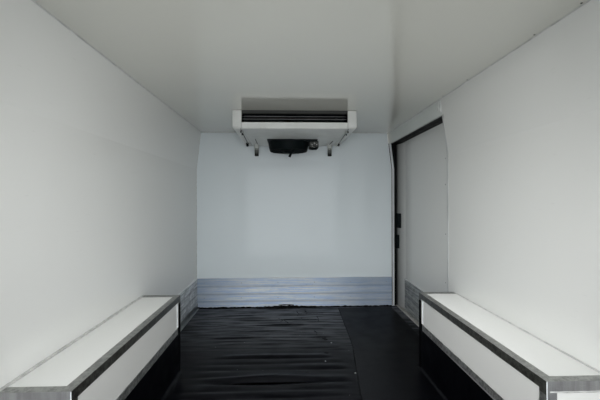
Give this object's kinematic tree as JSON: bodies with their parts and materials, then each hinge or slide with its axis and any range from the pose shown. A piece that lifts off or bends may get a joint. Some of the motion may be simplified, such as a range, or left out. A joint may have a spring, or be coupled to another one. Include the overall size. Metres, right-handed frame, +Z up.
{
  "type": "insulated load compartment of a refrigerated van",
  "caption": "Hollow insulated van lining with wheel boxes, ribbed floor, side door, hinged rear doors and a ceiling evaporator with a fan.",
  "frame": {"origin": "on the underside of the floor panel, below the middle of the load space", "axes": "+X to the right as seen from the rear doorway, +Y forward to the bulkhead, +Z up"},
  "size_m": [1.71, 3.418, 1.465],
  "materials": {
    "gelcoat": "glossy white gelcoat",
    "ceiling_gelcoat": "very glossy white gelcoat",
    "bulkhead_gelcoat": "glossy pale blue-white gelcoat",
    "raw_laminate": "rough fibre laminate",
    "floor_rubber": "satin black sheet",
    "seal_rubber": "matt black rubber",
    "aluminium": "dull scuffed mill finish",
    "fluted_aluminium": "brushed and scuffed",
    "steel": "zinc plated",
    "black_plastic": "matt black moulded",
    "white_plastic": "satin white moulded",
    "white_sheet": "satin white paint",
    "coil_fins": "dull fins",
    "timber": "raw plywood"
  },
  "bodies": {
    "lining": {"bulkhead_kick_plate": "fluted_aluminium", "bulkhead_panel": "bulkhead_gelcoat", "ceiling_panel": "ceiling_gelcoat", "door_frame_seal": "seal_rubber", "door_frame_trim": "aluminium", "door_header": "gelcoat", "door_post": "aluminium", "door_sill": "aluminium", "drain_hoses": "seal_rubber", "evaporator_caps": "white_plastic", "evaporator_coil": "coil_fins", "evaporator_housing": "white_sheet", "evaporator_louvres": "black_plastic", "evaporator_tray": "white_sheet", "fan_guard": "black_plastic", "fan_junction_box": "black_plastic", "fan_motor": "black_plastic", "fan_shroud": "black_plastic", "floor_covering": "floor_rubber", "floor_covering_ribs": "floor_rubber", "floor_mat": "floor_rubber", "floor_panel": "raw_laminate", "front_skirting": "aluminium", "left_box_trim": "aluminium", "left_front_kick_plate": "fluted_aluminium", "left_hinge_brackets": "steel", "left_rear_kick_plate": "fluted_aluminium", "left_wall": "gelcoat", "left_wall_battens": "timber", "left_wheel_box": "gelcoat", "lock_keepers": "steel", "rear_frame": "gelcoat", "rear_frame_trim": "aluminium", "rear_sill": "aluminium", "right_box_trim": "aluminium", "right_front_kick_plate": "fluted_aluminium", "right_hinge_brackets": "steel", "right_rear_kick_plate": "fluted_aluminium", "right_wall": "gelcoat", "right_wall_battens": "timber", "right_wheel_box": "gelcoat", "roof_battens": "timber", "side_door": "gelcoat", "side_door_kick_plate": "fluted_aluminium", "side_door_latches": "black_plastic", "tray_toggles": "steel"},
    "left_leaf": {"rear_left_door": "gelcoat", "rear_left_door_hinges": "steel", "rear_left_door_kick_plate": "fluted_aluminium", "rear_left_door_lock": "steel", "rear_left_door_seal": "seal_rubber"},
    "right_leaf": {"rear_right_door": "gelcoat", "rear_right_door_hinges": "steel", "rear_right_door_kick_plate": "fluted_aluminium", "rear_right_door_lock": "steel", "rear_right_door_seal": "seal_rubber"},
    "fan": {"fan_rotor": "black_plastic"}
  },
  "joints": [
    {"name": "left_rear_door_hinge", "type": "hinge", "parent": "lining", "child": "left_leaf", "pos_m": [-0.824, -1.339, 0.72], "axis": [0, 0, -1], "range_deg": [-90, 90]},
    {"name": "right_rear_door_hinge", "type": "hinge", "parent": "lining", "child": "right_leaf", "pos_m": [0.824, -1.339, 0.72], "axis": [0, 0, 1], "range_deg": [-90, 90]},
    {"name": "evaporator_fan_spin", "type": "hinge", "parent": "lining", "child": "fan", "pos_m": [-0.057, 1.005, 1.266], "axis": [0, 0, 1], "continuous": true}
  ]
}
